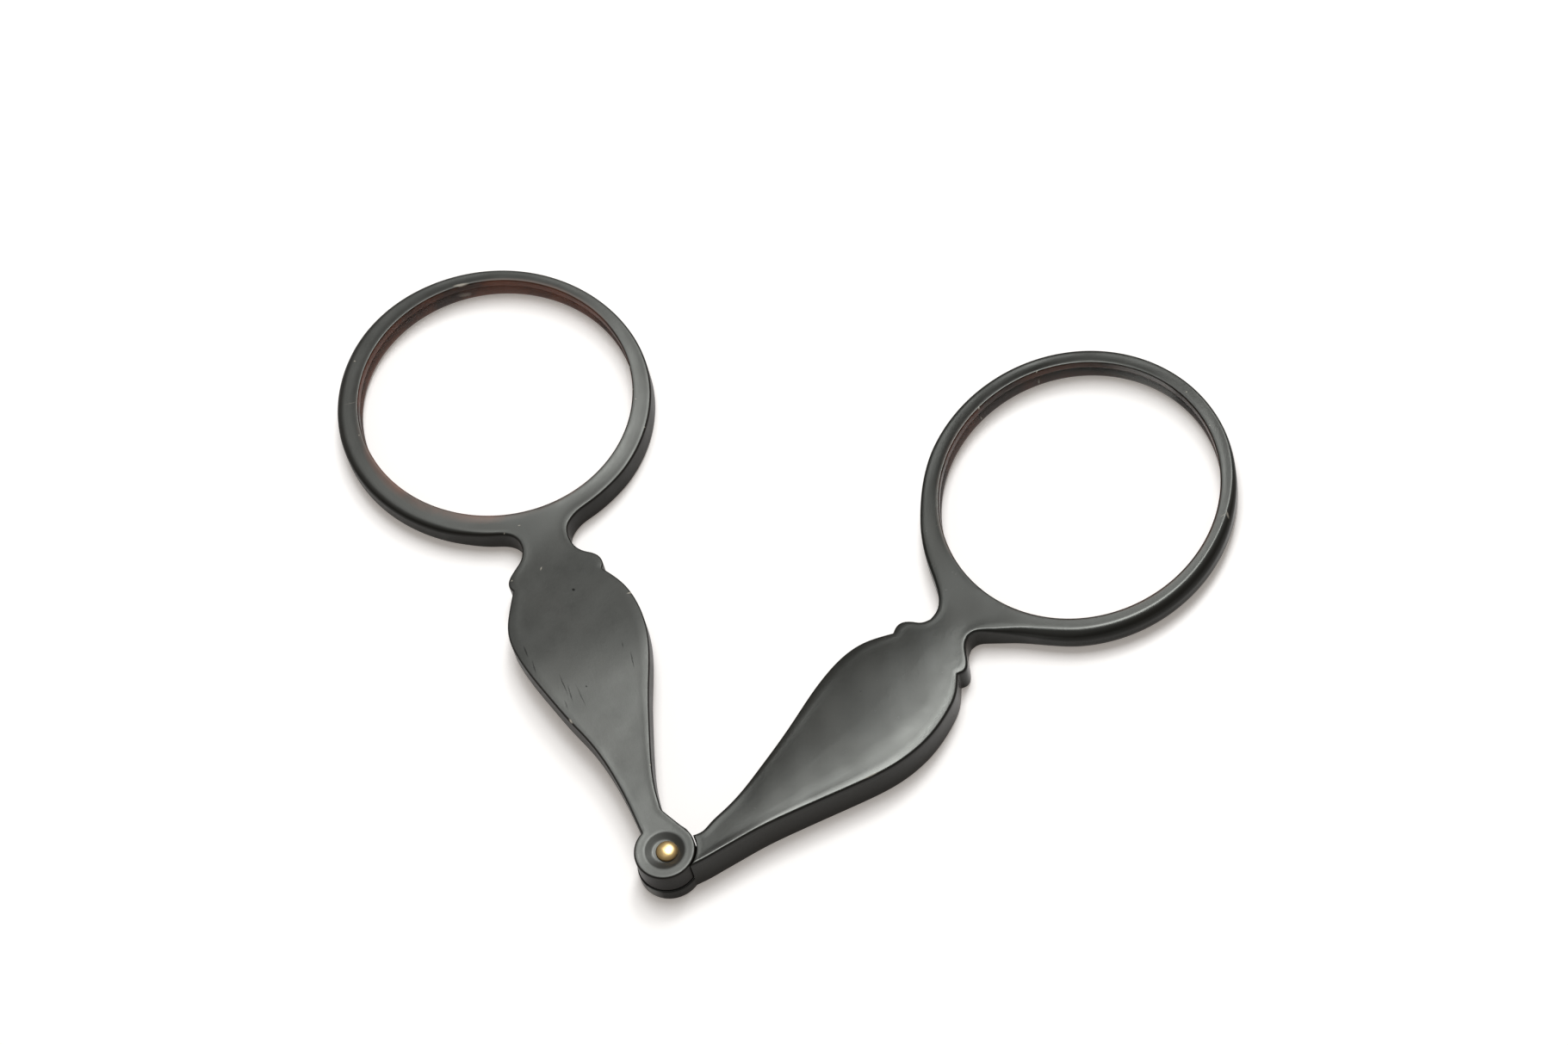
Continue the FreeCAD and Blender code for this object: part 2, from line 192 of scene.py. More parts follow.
# Points at even shares of a curve's length, and at a few given distances from its start
def evenly(curve, count, early=()):
    steps = np.linalg.norm(np.diff(curve, axis=0), axis=1)
    along = np.concatenate([[0], np.cumsum(steps)])
    wanted = np.sort(np.concatenate([np.linspace(0, along[-1], count + 1 - len(early)), early]))
    return np.stack([np.interp(wanted, along, curve[:, c]) for c in (0, 1)], axis=1)


# Natural cubic through the points: between two knots the curve is their mean weighted by distance,
# plus each knot's second derivative times (weight cubed minus weight) times the gap squared over six
def smoothCurve(points, samples=500):
    points = np.array(points, float)
    if len(points) < 3:
        return points
    gaps = np.linalg.norm(np.diff(points, axis=0), axis=1)
    knots = np.concatenate([[0], np.cumsum(gaps)])
    last = len(points) - 1
    system = np.eye(last + 1)
    i = np.arange(1, last)
    system[i, i - 1] = gaps[:-1]
    system[i, i] = 2 * (gaps[:-1] + gaps[1:])
    system[i, i + 1] = gaps[1:]
    slopes = np.diff(points, axis=0) / gaps[:, None]
    wanted = np.zeros_like(points)
    wanted[1:-1] = 6 * np.diff(slopes, axis=0)
    bend = np.linalg.solve(system, wanted)
    fine = np.linspace(0, knots[-1], samples)
    k = np.clip(np.searchsorted(knots, fine, side="right") - 1, 0, last - 1)
    gap = gaps[k][:, None]
    b = (fine - knots[k])[:, None] / gap
    a = 1 - b
    straight = a * points[k] + b * points[k + 1]
    return straight + ((a**3 - a) * bend[k] + (b**3 - b) * bend[k + 1]) * gap**2 / 6


# A share that rises from 0 at low to 1 at high, level at both ends: 3 t squared minus 2 t cubed
def smoothStep(x, low, high):
    t = np.clip((x - low) / (high - low), 0, 1)
    return t * t * (3 - 2 * t)


# Distance and direction of points from the origin
def polar(points):
    return np.linalg.norm(points, axis=-1), np.arctan2(points[..., 1], points[..., 0])


# One side of the arm's outline from the eye to the flare's end, in four evenly divided stretches
def sideOf(arm, side, kink=0):
    handle = arm[side + "Handle"]
    if kink:
        straight = np.array(handle[: kink + 1], float)
        curved = smoothCurve(handle[kink:])
        handle = np.concatenate([straight, curved[1:]])
    else:
        handle = smoothCurve(handle)
    parts = [evenly(handle, grid["handle"], grid["early"])]
    for stretch, key in (("Lobe", "lobe"), ("Waist", "waist"), ("Flare", "flare")):
        parts.append(evenly(smoothCurve(arm[side + stretch]), grid[key])[1:])
    return np.concatenate(parts)


# Unit vectors across a path, pointing to its right, from the mean of the two neighbouring steps
def rightNormals(path):
    step = np.gradient(path, axis=0)
    normal = np.stack([step[:, 1], -step[:, 0]], axis=1)
    return normal / np.linalg.norm(normal, axis=1)[:, None]


# How far points are from the rim's opening; negative inside it
def pastHole(points):
    return np.linalg.norm(points - rimMiddle, axis=-1) - rim["inner"]


# Distance from each point to the nearest piece of a closed outline, and that piece's rounding radius
def nearest(points, outline, radii):
    start = outline[None]
    step = np.roll(outline, -1, axis=0)[None] - start
    flat = points.reshape(-1, 1, 2)
    share = np.clip(((flat - start) * step).sum(2) / (step**2).sum(2), 0, 1)
    gap = np.linalg.norm(flat - start - share[..., None] * step, axis=2)
    best = gap.argmin(axis=1)
    return gap.min(axis=1).reshape(points.shape[:-1]), radii[best].reshape(points.shape[:-1])


# A quarter circle off the edge: how far the surface has dropped at a distance from the edge
def roundOff(distance, radius):
    inside = np.clip(radius - distance, 0, radius)
    return radius - np.sqrt(np.maximum(radius**2 - inside**2, 0))


# A ramp from one height to another whose two corners are blended by parabolas
def ramp(x, low, high):
    a, b, soft = hinge["slopeStart"], hinge["slopeEnd"], hinge["slopeBlend"]
    slope = (high - low) / (b - a)
    bend = lambda t: np.where(t < -soft, 0, np.where(t > soft, t, (t + soft) ** 2 / (4 * soft)))
    return low + slope * (bend(x - a) - bend(x - b))


# Faint unevenness of hand-filed horn: three crossing sine waves, about a hundredth of a millimetre high
def handWork(plan, phase):
    x, y = plan[..., 0], plan[..., 1]
    long, middling, short = handleFace["waves"]
    return (
        long * np.sin(0.42 * x + 0.25 * y + phase)
        + middling * np.sin(0.23 * x - 0.61 * y + 2.1 * phase)
        + short * np.sin(1.13 * x + 0.83 * y + 3.7 * phase)
    )


# Faces between neighbouring rows and columns of a sheet of vertex numbers
def quads(numbers, closed):
    if closed:
        numbers = np.concatenate([numbers, numbers[:, :1]], axis=1)
    a, b = numbers[:-1, :-1], numbers[1:, :-1]
    c, d = numbers[1:, 1:], numbers[:-1, 1:]
    return np.stack([a, b, c, d], axis=-1).reshape(-1, 4)


# One closed, outward-facing mesh from sheets of points that share their borders. In a closed sheet the
# last column meets the first.
def buildPiece(name, sheets):
    points, faces, used = [], [], 0
    for sheet, closed in sheets:
        rows, columns = sheet.shape[:2]
        numbers = used + np.arange(rows * columns).reshape(rows, columns)
        faces.append(quads(numbers, closed))
        points.append(sheet.reshape(-1, 3))
        used += rows * columns
    mesh = bpy.data.meshes.new(name)
    mesh.from_pydata((np.concatenate(points) * mm).tolist(), [], np.concatenate(faces).tolist())
    edit = bmesh.new()
    edit.from_mesh(mesh)
    bmesh.ops.remove_doubles(edit, verts=edit.verts, dist=grid["merge"])
    bmesh.ops.dissolve_degenerate(edit, edges=edit.edges, dist=grid["sliver"])
    bmesh.ops.recalc_face_normals(edit, faces=edit.faces)
    openEdges = sum(not e.is_manifold for e in edit.edges)
    edit.to_mesh(mesh)
    edit.free()
    mesh.polygons.foreach_set("use_smooth", np.ones(len(mesh.polygons), bool))
    piece = bpy.data.objects.new(name, mesh)
    bpy.context.scene.collection.objects.link(piece)
    print("made", name, len(mesh.vertices), "vertices,", openEdges, "open edges")
    return piece


# From an arm's own plan to the row frame: mirror, turn about the rivet axis, move to the pivot
def placed(plan, height, arm):
    angle = math.radians(arm["turn"])
    x, y = plan[..., 0], plan[..., 1] * arm["mirror"]
    return np.stack(
        [
            x * math.cos(angle) - y * math.sin(angle),
            x * math.sin(angle) + y * math.cos(angle) - hinge["pivotBack"],
            np.broadcast_to(height, x.shape),
        ],
        axis=-1,
    )


# Angle of a direction in an arm's plan, as it lies in the row frame
def rowAngle(angle, arm):
    return math.radians(arm["turn"]) + arm["mirror"] * angle


# The slight oval of a hand-made rim: radius times one plus a cosine and a sine of twice the angle.
# The opening is a little off the middle, and the rim is narrower on its far side.
def ovalled(plan, arm):
    reach, angle = polar(plan - rimMiddle)
    swell = arm["oval"][0] * np.cos(2 * angle) + arm["oval"][1] * np.sin(2 * angle)
    fade = 1 - smoothStep(reach, rim["outer"], rim["warpReach"])
    turned = rowAngle(angle, arm)
    atHole = 1 - smoothStep(reach, rim["inner"] + rim["holeEdge"], rim["outer"])
    right, up = arm["holeShift"]
    push = right * np.cos(turned) + up * np.sin(turned) + arm["holeGrow"]
    push = push * atHole * np.minimum(reach / rim["inner"], 1)
    far = smoothStep(np.sin(turned), *rim["farSpread"]) * arm["farThin"] * (1 - atHole) * fade
    bigger = 1 + swell * fade + (push - far) / np.maximum(reach, 1)
    return rimMiddle + (plan - rimMiddle) * bigger[..., None]


# Rounding of the rim's edge at some points: largest in one direction from the rim's middle
def rimRounding(points, arm, key):
    angle = rowAngle(polar(points - rimMiddle)[1], arm)
    toward = np.cos(angle - math.radians(arm["roundToward"]))
    small, large = arm[key]
    return small + (large - small) * smoothStep(toward, *rim["roundSpread"])


# Round the corner where a flare meets the rim: many times over, each station near it moves half of
# the way to the mean of its neighbours
def evenedOut(path, corners):
    order = np.arange(len(path))
    gaps = np.min([np.abs(order - c) for c in corners], axis=0)
    share = 1 - smoothStep(gaps, grid["blendWhole"], grid["blendIn"])
    for _ in range(grid["blendPasses"]):
        mean = (np.roll(path, 1, axis=0) + np.roll(path, -1, axis=0)) / 2
        path = path + (mean - path) * 0.5 * share[:, None]
    return path


# Two paths with the same number of stations. The facing path runs up the middle of the handle, round
# the rim's opening and back, and the outline runs beside it. Also the outline's roundings, and the
# station at which the facing path reaches the opening.
def armPaths(arm):
    outer = sideOf(arm, "outer")
    inner = sideOf(arm, "inner", arm["innerKink"])
    waist = grid["handle"] + grid["lobe"] + grid["waist"]
    outerReach, outerAngle = polar(outer[: waist + 1])
    innerReach, innerAngle = polar(inner[: waist + 1])
    reach, angle = (outerReach + innerReach) / 2, (outerAngle + innerAngle) / 2
    spine = reach[:, None] * np.stack([np.cos(angle), np.sin(angle)], axis=1)

    # From the neck to the opening the path is a straight slit
    slitReach, slitAngle = polar(spine[-1] - rimMiddle)
    slitAngle = slitAngle % (2 * math.pi)
    startOuter = polar(outer[-1] - rimMiddle)[1] % (2 * math.pi)
    startInner = polar(inner[-1] - rimMiddle)[1] % (2 * math.pi)
    nearHole = rim["inner"] + rim["holeRound"] * roundSteps[::-1]
    plain = grid["flare"] // 2 - grid["rounding"]
    slit = np.concatenate([np.linspace(slitReach, nearHole[0], plain + 1)[1:], nearHole[1:]])
    slit = rimMiddle + slit[:, None] * np.array([math.cos(slitAngle), math.sin(slitAngle)])
    rest = grid["flare"] - len(slit)

    def arc(key, first, last, count):
        turn = np.linspace(first, last, count + 1)[1:]
        return rimMiddle + rim[key] * np.stack([np.cos(turn), np.sin(turn)], axis=1)

    outSide = np.concatenate([spine, slit, arc("inner", slitAngle, startOuter, rest)])
    inSide = np.concatenate([spine, slit, arc("inner", slitAngle, startInner, rest)])
    ring = (startOuter, startInner - 2 * math.pi, grid["ring"])
    facing = np.concatenate([outSide, arc("inner", *ring), inSide[-2::-1]])
    outline = np.concatenate([outer, arc("outer", *ring), inner[-2::-1]])
    outline = evenedOut(outline, (len(outer) - 1, len(outline) - len(inner)))
    rimRounds = rimRounding(outline, arm, "rimRound")
    share = smoothStep(outline[:, 0], *rim["roundFrom"])
    rounds = arm["handleRound"] + (rimRounds - arm["handleRound"]) * share
    return facing, outline, rounds, len(spine) + len(slit) - 1


# Dishes turned into the eyes round the rivet: radii of the rows, then profiles of (radius, drop)
dish = {
    "left_arm_horn": {
        "rows": [
            hinge["bore"], 1.3, 1.5, 1.6, 1.72, 1.9, 2.1, 2.3, 2.45, 2.55, 2.65, 2.8, 3.0, 3.3, 3.5,
        ],
        "top": [
            (0, 0.35), (1.5, 0.35), (1.6, 0.34), (1.72, 0.31), (2.45, 0.07), (2.55, 0.035),
            (2.65, 0.015), (2.8, 0),
        ],
        "under": [(0, 0), (4, 0)],
    },
    "right_arm_horn": {
        "rows": [hinge["bore"], 1.4, 1.7, 1.86, 1.9, 1.94, 2.2, 2.8, 3.4, 3.8],
        "top": [(0, 0), (4, 0)],
        "under": [(0, 0.45), (1.88, 0.45), (1.92, 0), (4, 0)],
    },
}


# A dish's drop at some radii, along straight lines between the points of its profile
def dishDrop(radii, profile):
    return np.interp(radii, *zip(*profile))


# The plan of an arm's faces: a row of points for each station, from the facing path to the outline.
# Columns near the ends of a row lie at exact distances from them, so that edges are true quarter rounds.
def armPlan(arm):
    facing, outline, rounds, holeStart = armPaths(arm)
    inward = rightNormals(outline)
    inward[0] = inward[1]
    inward[-1] = inward[-2]
    atEdge = outline + inward * rounds[:, None]
    across = atEdge - facing
    towards = across / np.linalg.norm(across, axis=1)[:, None]
    toHole = pastHole(facing)
    onHole = np.abs(toHole) < grid["onHole"]
    outwards = (facing - rimMiddle) / rim["inner"]
    leave = np.where(onHole[:, None], outwards, towards)
    order = np.arange(len(facing))
    onSlit = (order <= holeStart) | (order >= len(facing) - 1 - holeStart)
    mitre = np.clip(1 - toHole / rim["holeRound"], 0, 1)[:, None]
    leave = np.where(onSlit[:, None], towards + outwards * mitre, leave)
    columns = [facing + leave * rim["holeRound"] * s for s in roundSteps]
    firstInside = columns[-1]
    for share in np.linspace(0, 1, grid["across"] + 1)[1:-1]:
        columns.append(firstInside + (atEdge - firstInside) * share)
    columns += [outline + inward * (rounds * s)[:, None] for s in roundSteps[::-1]]
    plan = np.stack(columns, axis=1)

    # Near the eye the rows become arcs round the rivet
    arcsEnd, straightFrom = arm["eye"] + np.array(grid["eyeReach"])
    near = polar(facing)[0] < straightFrom
    reach, angle = polar(plan[near])
    startReach, startAngle = polar(facing[near])
    endReach, endAngle = polar(outline[near])
    share = np.linalg.norm(plan[near] - facing[near][:, None], axis=2)
    share = np.maximum.accumulate(share / share[:, -1:], axis=1)
    arcs = startReach[:, None] + (endReach - startReach)[:, None] * share
    turns = startAngle[:, None] + (endAngle - startAngle)[:, None] * share
    pull = (1 - smoothStep(startReach, arcsEnd, straightFrom))[:, None]
    reach = reach + (arcs - reach) * pull
    angle = angle + (turns - angle) * pull
    plan[near] = reach[..., None] * np.stack([np.cos(angle), np.sin(angle)], axis=-1)
    return facing, plan, rounds, onHole, outwards


# The handle's face falls away toward its edges, with the square of the share of the way to them
def crownDrop(plan, facing, arm):
    width = np.linalg.norm(plan[:, -1] - facing, axis=1)[:, None]
    sideways = np.linalg.norm(plan - facing[:, None], axis=2) / width
    onOuter = (np.arange(len(plan)) < len(plan) / 2)[:, None]
    fall = np.where(onOuter, arm["crown"][0], arm["crown"][1])
    drop = fall * width / handleFace["crownHalf"] * np.clip(sideways, 0, 1) ** 2
    drop = drop * smoothStep(plan[..., 0], *handleFace["crownStart"])
    return drop * (1 - smoothStep(plan[..., 0], *handleFace["crownEnd"]))


# Height of an arm's face: the ramp from the eye to the rim, less the rounded edges, with filing marks
# away from the edges, and on the rim a lean toward its outer edge
def topHeight(points, edges, arm):
    distance, radius = nearest(points, *edges)
    hole = pastHole(points)
    height = ramp(points[..., 0], hinge["eyeTop"], hinge["rimTop"])
    height = height - roundOff(distance, radius) - roundOff(np.maximum(hole, 0), rim["holeRound"])
    start, end = handleFace["waveEdge"]
    soft = smoothStep(distance, radius * start, radius * end)
    soft = soft * smoothStep(hole, *handleFace["waveHole"])
    height = height + (handWork(points, arm["turn"]) - handleFace["waveDrop"]) * soft
    toEdge = 1 - np.clip(distance / (rim["outer"] - rim["inner"]), 0, 1)
    return height - arm["rimLean"] * toEdge * smoothStep(points[..., 0], *rim["leanFrom"])


# Height of an arm's underside: the ramp from the eye to the rim, plus the rounded edges
def underHeight(points, edges, arm):
    distance = nearest(points, *edges)[0]
    rimRounds = rimRounding(points, arm, "rimUnderRound")
    share = smoothStep(points[..., 0], *rim["roundFrom"])
    radius = rim["underRound"] + (rimRounds - rim["underRound"]) * share
    height = ramp(points[..., 0], arm["underEye"], 0.0) + roundOff(distance, radius)
    return height + roundOff(np.maximum(pastHole(points), 0), rim["holeUnderRound"])


# Height of the lower eye's face, under the other eye
def lapHeight(points, edges, arm):
    distance, radius = nearest(points, *edges)
    return arm["stepTop"] - roundOff(distance, np.minimum(radius, hinge["lapRound"]))


# Points of a plan at their heights, in the row frame
def face(points, heights, arm):
    return placed(ovalled(points, arm), heights, arm)


# A wall has rows at even heights between its lower and upper edge
def wall(points, low, high, count, arm):
    heights = low + (high - low) * np.linspace(0, 1, count + 1)[:, None]
    return face(np.broadcast_to(points, heights.shape + (2,)), heights, arm)


# The wall of the opening, with the groove that holds the lens
def holeWall(outwards, under, top, arm):
    groove, half = rim["grooveHeight"], rim["grooveHalf"]
    rows = [(0, under)]
    for out, height in (
        (0, rim["holeUnderRound"]), (0, groove - half), (rim["grooveDepth"], groove),
        (0, groove + half), (0, rim["wallRow"]),
    ):
        rows.append((out, np.full(len(outwards), height)))
    rows.append((0, top))
    return np.stack([face(rimMiddle + outwards * (rim["inner"] + out), z, arm) for out, z in rows])


# An arm is a top and a bottom sheet, and the same two for its eye, joined by walls
def makeArm(arm):
    facing, plan, rounds, onHole, outwards = armPlan(arm)
    outline = plan[:, -1]

    # The eye: rings of points round the bore, whose angles match the arm's first and last stations
    firstAngle = polar(plan[0])[1]
    lastAngle = polar(plan[-1])[1]
    back = np.linspace(firstAngle[-1], lastAngle[-1] + 2 * math.pi, grid["eyeBack"] + 1)
    eyeAngles = np.concatenate([firstAngle, back[1:], lastAngle[-2:0:-1] + 2 * math.pi])
    eyeBack = arm["eye"] * np.stack([np.cos(back), np.sin(back)], axis=1)
    wholeOutline = np.concatenate([outline, eyeBack[-2:0:-1]])
    wholeRounds = np.concatenate([rounds, np.full(len(eyeBack) - 2, arm["handleRound"])])
    edges = topEdges = (wholeOutline, wholeRounds)
    if arm["stepTop"]:
        arcAngle = np.linspace(lastAngle[-1], firstAngle[-1], grid["step"] + 1)[1:-1]
        crescent = arm["eye"] * np.stack([np.cos(arcAngle), np.sin(arcAngle)], axis=1)
        stepRounds = np.full(len(crescent), arm["stepRound"])
        topEdges = (np.concatenate([outline, crescent]), np.concatenate([rounds, stepRounds]))
    top = topHeight(plan, topEdges, arm) - crownDrop(plan, facing, arm)
    under = underHeight(plan, edges, arm)

    # The eye's faces, with the dish round the rivet
    profiles = dish[arm["name"]]
    eyeEdge = arm["eye"] - arm["handleRound"] * roundSteps
    eyeRows = np.concatenate([np.array(profiles["rows"]), eyeEdge[::-1]])
    eyePlan = eyeRows[:, None, None] * np.stack([np.cos(eyeAngles), np.sin(eyeAngles)], axis=-1)[None]
    eyeHeight = lapHeight if arm["stepTop"] else topHeight
    eyeTop = eyeHeight(eyePlan, edges, arm) - dishDrop(eyeRows, profiles["top"])[:, None]
    eyeUnder = underHeight(eyePlan, edges, arm) + dishDrop(eyeRows, profiles["under"])[:, None]

    # Where the eye meets the handle, both have the same points: the eye's columns before first and
    # from last on are the handle's two end rows
    first, last = len(firstAngle), len(firstAngle) - 1 + grid["eyeBack"]
    eyePlan[-1, :first] = plan[0]
    eyePlan[-1, last:] = plan[-1, :0:-1]
    eyeUnder[-1, :first] = under[0]
    eyeUnder[-1, last:] = under[-1, :0:-1]
    if arm["stepTop"]:
        lap = arm["stepTop"] - hinge["lapRound"]
        eyeTop[-1, [first - 1, last]] = lap
    else:
        eyeTop[-1, :first] = top[0]
        eyeTop[-1, last:] = top[-1, :0:-1]

    sheets = [(face(plan, top, arm), False), (face(plan, under, arm), False)]
    sheets += [(face(eyePlan, eyeTop, arm), True), (face(eyePlan, eyeUnder, arm), True)]
    lowCount, highCount = grid["wallLow"], grid["wallHigh"]
    backColumns = slice(first - 1, last + 1)
    backWall = (eyePlan[-1, backColumns], eyeUnder[-1, backColumns], eyeTop[-1, backColumns])
    if arm["stepTop"]:
        lapLine = np.full(len(plan), lap)
        sheets.append((wall(outline, under[:, -1], lapLine, lowCount, arm), False))
        sheets.append((wall(outline, lapLine, top[:, -1], highCount, arm), False))
        sheets.append((wall(*backWall, lowCount, arm), False))
        stepPlan = np.concatenate([plan[-1, :0:-1], plan[0]])
        stepLow = np.concatenate([eyeTop[-1, last:], eyeTop[-1, :first]])
        stepHigh = np.concatenate([top[-1, :0:-1], top[0]])
        sheets.append((wall(stepPlan, stepLow, stepHigh, highCount, arm), False))
    else:
        sheets.append((wall(outline, under[:, -1], top[:, -1], lowCount + highCount, arm), False))
        sheets.append((wall(*backWall, lowCount + highCount, arm), False))
    sheets.append((holeWall(outwards[onHole], under[onHole, 0], top[onHole, 0], arm), False))
    sheets.append((wall(eyePlan[0], eyeUnder[0], eyeTop[0], grid["bore"], arm), True))

    piece = buildPiece(arm["name"], sheets)
    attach(piece, arm["body"])
    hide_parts(arm["node"])
    return piece


arms = [makeArm(leftArm), makeArm(rightArm)]


# A lens is a profile turned round its axis: two shallow arcs and a bevelled edge, ovalled with its rim
lensShape = {
    "edge": 18.24,          # radius of the faces
    "bevel": 0.62,          # the edge stands out this much further
    "middle": 2.1,          # height of its tip
    "edgeHalf": 0.65,       # half the thickness where the faces end
    "crown": 0.5,           # rise of each face
    "rings": 14,
    "around": 160,
}


def makeLens(name, arm, node):
    edge, crown = lensShape["edge"], lensShape["crown"]
    ball = (edge**2 + crown**2) / (2 * crown)
    radii = np.linspace(0, edge, lensShape["rings"] + 1)
    rise = np.sqrt(ball**2 - radii**2) - (ball - crown)
    topRows = np.stack([radii, lensShape["middle"] + lensShape["edgeHalf"] + rise], axis=1)
    tip = np.array([[edge + lensShape["bevel"], lensShape["middle"]]])
    underRows = np.stack([radii, lensShape["middle"] - lensShape["edgeHalf"] - rise], axis=1)[::-1]
    profile = np.concatenate([topRows, tip, underRows])
    turn = np.linspace(0, 2 * math.pi, lensShape["around"], endpoint=False)
    circle = np.stack([np.cos(turn), np.sin(turn)], axis=-1)
    plan = rimMiddle + profile[:, None, :1] * circle[None]
    points = face(plan, profile[:, 1:2] * np.ones(len(turn)), arm)
    piece = buildPiece(name, [(points, True)])
    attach(piece, arm["body"])
    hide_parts(node)
    return piece


lenses = [
    makeLens("left_lens_glass", leftArm, "left_lens"),
    makeLens("right_lens_glass", rightArm, "right_lens"),
]


# The rivet: a profile turned round the axis. Its domed head was closed with a hammer, so the dome's
# height is lowered a little by products and sums of sines, and the head stands off the axis.
rivet = {
    "shank": 1.0,           # radii of the shank, the head and the tail
    "head": 1.42,
    "tail": 1.5,
    "tailBase": 0.03,       # heights, from below
    "tailTop": 0.43,
    "shankRow": 3.0,
    "headBase": 5.87,
    "headRise": 0.74,       # from its base to the top of the dome
    "tailBevel": (0.3, 0.2),        # width and height
    "headWall": 0.08,       # upright foot of the head
    "headBevel": 0.04,      # its lower edge is broken by this much
    "domeRows": 14,
    "dentFrom": (0.1, 0.4), # the dents set in between these heights over the head's base
    "dents": 0.02,
    "lean": 0.3,            # how far the head stands off the axis
    "around": 72,
}


def makeRivet():
    radius, base, foot = rivet["head"], rivet["headBase"], rivet["headWall"]
    bend = np.linspace(0, math.pi / 2, rivet["domeRows"])
    domeHeight = base + foot + (rivet["headRise"] - foot) * np.sin(bend)
    dome = np.stack([radius * np.cos(bend), domeHeight], axis=1)
    tail, tailBase = rivet["tail"], rivet["tailBase"]
    inward, up = rivet["tailBevel"]
    shank = [
        (0, tailBase), (tail * 0.5, tailBase), (tail - inward, tailBase), (tail, tailBase + up),
        (tail, rivet["tailTop"]), (rivet["shank"], rivet["tailTop"]),
        (rivet["shank"], rivet["shankRow"]), (rivet["shank"], base),
    ]
    broken = rivet["headBevel"]
    profile = np.concatenate([shank, [(radius - broken, base), (radius, base + broken)], dome])
    turn = np.linspace(0, 2 * math.pi, rivet["around"], endpoint=False)
    plan = profile[:, None, :1] * np.stack([np.cos(turn), np.sin(turn)], axis=-1)[None]
    height = profile[:, 1:2] * np.ones(len(turn))
    x, y = plan[..., 0], plan[..., 1]
    dents = np.sin(3.1 * x + 1.0) * np.cos(2.7 * y) + np.sin(5.3 * y + 2.0 * x)
    start, end = rivet["dentFrom"]
    onDome = smoothStep(height, base + start, base + end)
    height = height - rivet["dents"] * onDome * (1 + 0.5 * dents)
    aside = np.where(np.arange(len(profile)) < len(shank), 0, rivet["lean"])[:, None]
    points = np.stack([x + aside, y - hinge["pivotBack"], height], axis=-1)
    piece = buildPiece("rivet_brass_head", [(points, True)])
    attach(piece, "right_side")
    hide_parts("pivot_rivet")
    return piece


rivetPiece = makeRivet()


# A new material and the function that adds nodes to it, whose inputs are values or other nodes' outputs
def newMaterial(name):
    material = bpy.data.materials.new(name)
    material.use_nodes = True
    nodes, links = material.node_tree.nodes, material.node_tree.links
    nodes.clear()

    def add(kind, inputs, **settings):
        made = nodes.new("ShaderNode" + kind)
        for key, value in settings.items():
            setattr(made, key, value)
        for key, value in inputs.items():
            if isinstance(value, bpy.types.NodeSocket):
                links.new(value, made.inputs[key])
            else:
                made.inputs[key].default_value = value
        return made

    return material, add


# The nodes used most, each giving its output
def number(add, operation, a, b=0.0):
    return add("Math", {0: a, 1: b}, operation=operation).outputs[0]


def vector(add, operation, a, b=(0, 0, 0), c=(0, 0, 0)):
    return add("VectorMath", {0: a, 1: b, 2: c}, operation=operation).outputs[0]


def lengthOf(add, a):
    return add("VectorMath", {0: a}, operation="LENGTH").outputs["Value"]


# A value between two ends becomes one between low and high, and is clamped to them
def ranged(add, value, ends, low=0.0, high=1.0):
    inputs = {"Value": value, "From Min": ends[0], "From Max": ends[1], "To Min": low, "To Max": high}
    return add("MapRange", inputs).outputs["Result"]


def mixed(add, share, a, b):
    return add("Mix", {0: share, 6: a, 7: b}, data_type="RGBA").outputs[2]


# Coordinates of the piece seen from a place (metres) that is turned by an angle, in units of a size
def localTo(add, coordinates, place, turn, size):
    inputs = {"Vector": coordinates, "Location": place, "Rotation": (0, 0, turn), "Scale": size}
    return add("Mapping", inputs, vector_type="TEXTURE").outputs["Vector"]


# What both arms' horn has in common. Lengths are in millimetres, and noises are scaled per millimetre.
hornFinish = {
    "clouds": {"Scale": 0.12, "Detail": 4.0},       # slow change from dark to brown
    "patches": {"Scale": 0.35, "Detail": 9.0, "Roughness": 0.75},       # shinier and duller places
    "patchEnds": (0.35, 0.65),
    "grain": {"Scale": 2.5, "Detail": 6.0, "Roughness": 0.65},
    "bump": {"Strength": 0.12, "Distance": 0.00005},        # depth in metres
    "level": (0.72, 0.975),     # how level a face is where its polish sets in, and where it is whole
    "wallPolish": 0.1,          # polish of upright walls, and of worn marks
    "edgeBegins": (0.05, 0.14),     # leans to the arm's outer side between which the edge's sheen grows
    "edgeEnds": (0.35, 0.6),        # and fades
    "paintedGlowReach": (18.7, 19.7),   # distances from the rim's middle between which the walls' painted red glow, of light through thin horn, fades
    "paintedGlowLevel": (0.3, 0.97),    # and how level the walls may be for it
    "facePaintedGlow": (17.8, 18.9),    # the same on the faces
    "paintedGlowClouds": (0.42, 0.58),  # the painted glow comes and goes with the clouds
    "paintedGlowLeast": 0.25,
    "tint": (0.965, 1.0, 0.945, 1),
    "refraction": 1.5,
    "ragged": 0.25,             # how far the grain pushes a mark's edge
    "markEnds": (0.5, 1.2),     # a mark fades between these multiples of its size
    "markUp": (0.1, 0.4),       # marks are only on faces that look up
    "chipAndGlint": (0.42, 0.39, 0.33, 1),
    "pit": (0.002, 0.002, 0.002, 1),
}

